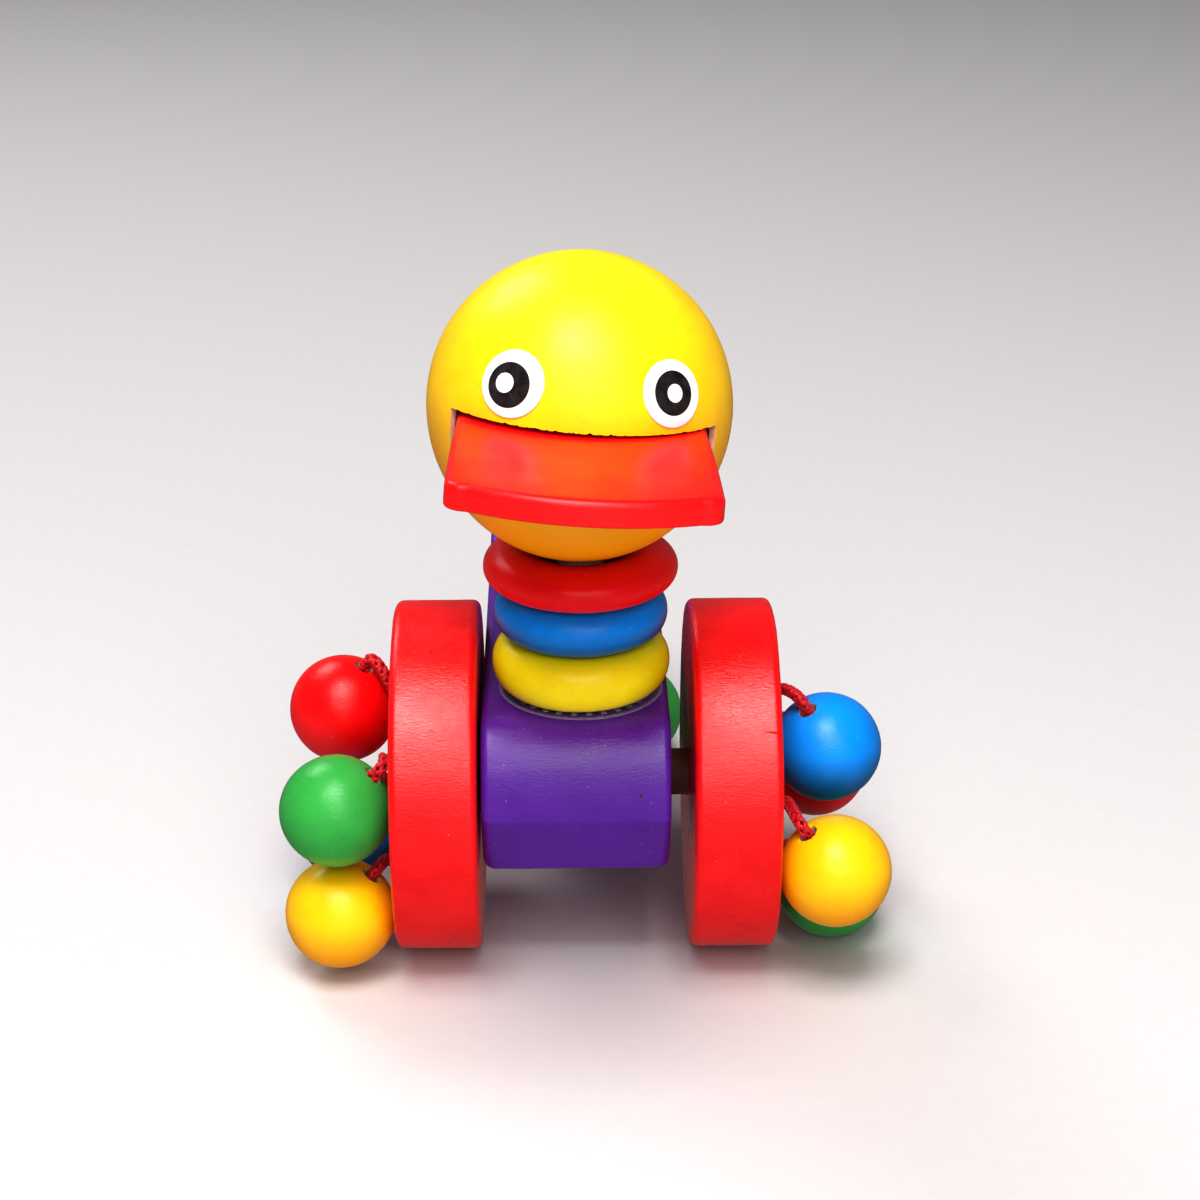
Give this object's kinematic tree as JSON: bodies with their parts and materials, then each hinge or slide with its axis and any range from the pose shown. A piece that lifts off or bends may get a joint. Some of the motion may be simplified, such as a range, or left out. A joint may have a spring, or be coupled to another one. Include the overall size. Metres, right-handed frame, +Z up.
{
  "type": "pull along toy",
  "caption": "Wooden duck on wheels: block body, ball head with a flat beak, loose rings on the neck and painted beads on cords that tumble as the wheels turn.",
  "frame": {"origin": "on the floor under the middle of the bounding box, midway between the front wheels side to side", "axes": "the duck faces -Y, +X is to the right as seen from in front of the beak, +Z is up; the front axle lies along X"},
  "size_m": [0.1039, 0.1498, 0.1241],
  "materials": {
    "yellow_paint": "satin gloss yellow paint on turned wood",
    "red_paint": "satin gloss red paint on wood",
    "blue_paint": "satin gloss blue paint on turned wood",
    "green_paint": "satin gloss green paint on turned wood",
    "purple_paint": "satin gloss purple paint on sawn wood",
    "raw_wood": "bare turned dowel",
    "red_cord": "braided cord",
    "clear_plastic": "clear film",
    "eye_vinyl": "glossy printed sticker"
  },
  "bodies": {
    "body": {"body_block": "purple_paint", "rear_keel": "purple_paint", "neck_washer": "clear_plastic"},
    "front_wheels": {"front_axle": "raw_wood", "left_wheel": "red_paint", "right_wheel": "red_paint"},
    "left_red_bead": {"bead_left_red": "red_paint", "cord_left_red": "red_cord"},
    "left_green_bead": {"bead_left_green": "green_paint", "cord_left_green": "red_cord"},
    "left_yellow_bead": {"bead_left_yellow": "yellow_paint", "cord_left_yellow": "red_cord"},
    "left_blue_bead": {"bead_left_blue": "blue_paint", "cord_left_blue": "red_cord"},
    "right_blue_bead": {"bead_right_blue": "blue_paint", "cord_right_blue": "red_cord"},
    "right_yellow_bead": {"bead_right_yellow": "yellow_paint", "cord_right_yellow": "red_cord"},
    "right_green_bead": {"bead_right_green": "green_paint", "cord_right_green": "red_cord"},
    "right_red_bead": {"bead_right_red": "red_paint", "cord_right_red": "red_cord"},
    "rear_balls": {"rear_axle": "raw_wood", "rear_ball_left": "green_paint", "rear_ball_right": "green_paint"},
    "ring_yellow": {"ring_yellow": "yellow_paint"},
    "ring_blue": {"ring_blue": "blue_paint"},
    "ring_red": {"ring_red": "red_paint"},
    "head": {"head_ball": "yellow_paint", "beak": "red_paint", "neck_dowel": "raw_wood", "eye_left": "eye_vinyl", "eye_right": "eye_vinyl"}
  },
  "joints": [
    {"name": "front_wheels_spin", "type": "hinge", "parent": "body", "child": "front_wheels", "pos_m": [0, -0.0089, 0.03], "axis": [1, 0, 0], "continuous": true},
    {"name": "left_red_bead_swing", "type": "hinge", "parent": "front_wheels", "child": "left_red_bead", "pos_m": [-0.03225, -0.0014, 0.04299], "axis": [1, 0, 0], "range_deg": [-60, 60]},
    {"name": "left_green_bead_swing", "type": "hinge", "parent": "front_wheels", "child": "left_green_bead", "pos_m": [-0.03225, -0.02119, 0.0386], "axis": [1, 0, 0], "range_deg": [-60, 10]},
    {"name": "left_yellow_bead_swing", "type": "hinge", "parent": "front_wheels", "child": "left_yellow_bead", "pos_m": [-0.03225, -0.0175, 0.01771], "axis": [1, 0, 0], "range_deg": [-4, 45]},
    {"name": "left_blue_bead_swing", "type": "hinge", "parent": "front_wheels", "child": "left_blue_bead", "pos_m": [-0.03225, 0.00339, 0.0214], "axis": [1, 0, 0], "range_deg": [-48, 60]},
    {"name": "right_blue_bead_swing", "type": "hinge", "parent": "front_wheels", "child": "right_blue_bead", "pos_m": [0.03225, -0.00759, 0.04494], "axis": [1, 0, 0], "range_deg": [-60, 20]},
    {"name": "right_yellow_bead_swing", "type": "hinge", "parent": "front_wheels", "child": "right_yellow_bead", "pos_m": [0.03225, -0.02384, 0.03131], "axis": [1, 0, 0], "range_deg": [-60, 13]},
    {"name": "right_green_bead_swing", "type": "hinge", "parent": "front_wheels", "child": "right_green_bead", "pos_m": [0.03225, -0.01021, 0.01506], "axis": [1, 0, 0], "range_deg": [-28, 60]},
    {"name": "right_red_bead_swing", "type": "hinge", "parent": "front_wheels", "child": "right_red_bead", "pos_m": [0.03225, 0.00604, 0.02869], "axis": [1, 0, 0], "range_deg": [-41, 60]},
    {"name": "rear_balls_spin", "type": "hinge", "parent": "body", "child": "rear_balls", "pos_m": [-0.0016, 0.0611, 0.0094], "axis": [1, 0, 0], "continuous": true},
    {"name": "ring_yellow_spin", "type": "hinge", "parent": "body", "child": "ring_yellow", "pos_m": [-0.0006, -0.0161, 0.0547], "axis": [0, 0, 1], "continuous": true},
    {"name": "ring_blue_spin", "type": "hinge", "parent": "body", "child": "ring_blue", "pos_m": [-0.0006, -0.0161, 0.0637], "axis": [0, 0, 1], "continuous": true},
    {"name": "ring_red_spin", "type": "hinge", "parent": "body", "child": "ring_red", "pos_m": [-0.0006, -0.0161, 0.0716], "axis": [0, 0, 1], "continuous": true},
    {"name": "head_turn", "type": "hinge", "parent": "body", "child": "head", "pos_m": [-0.0006, -0.0161, 0.0994], "axis": [0, 0, 1], "continuous": true}
  ]
}
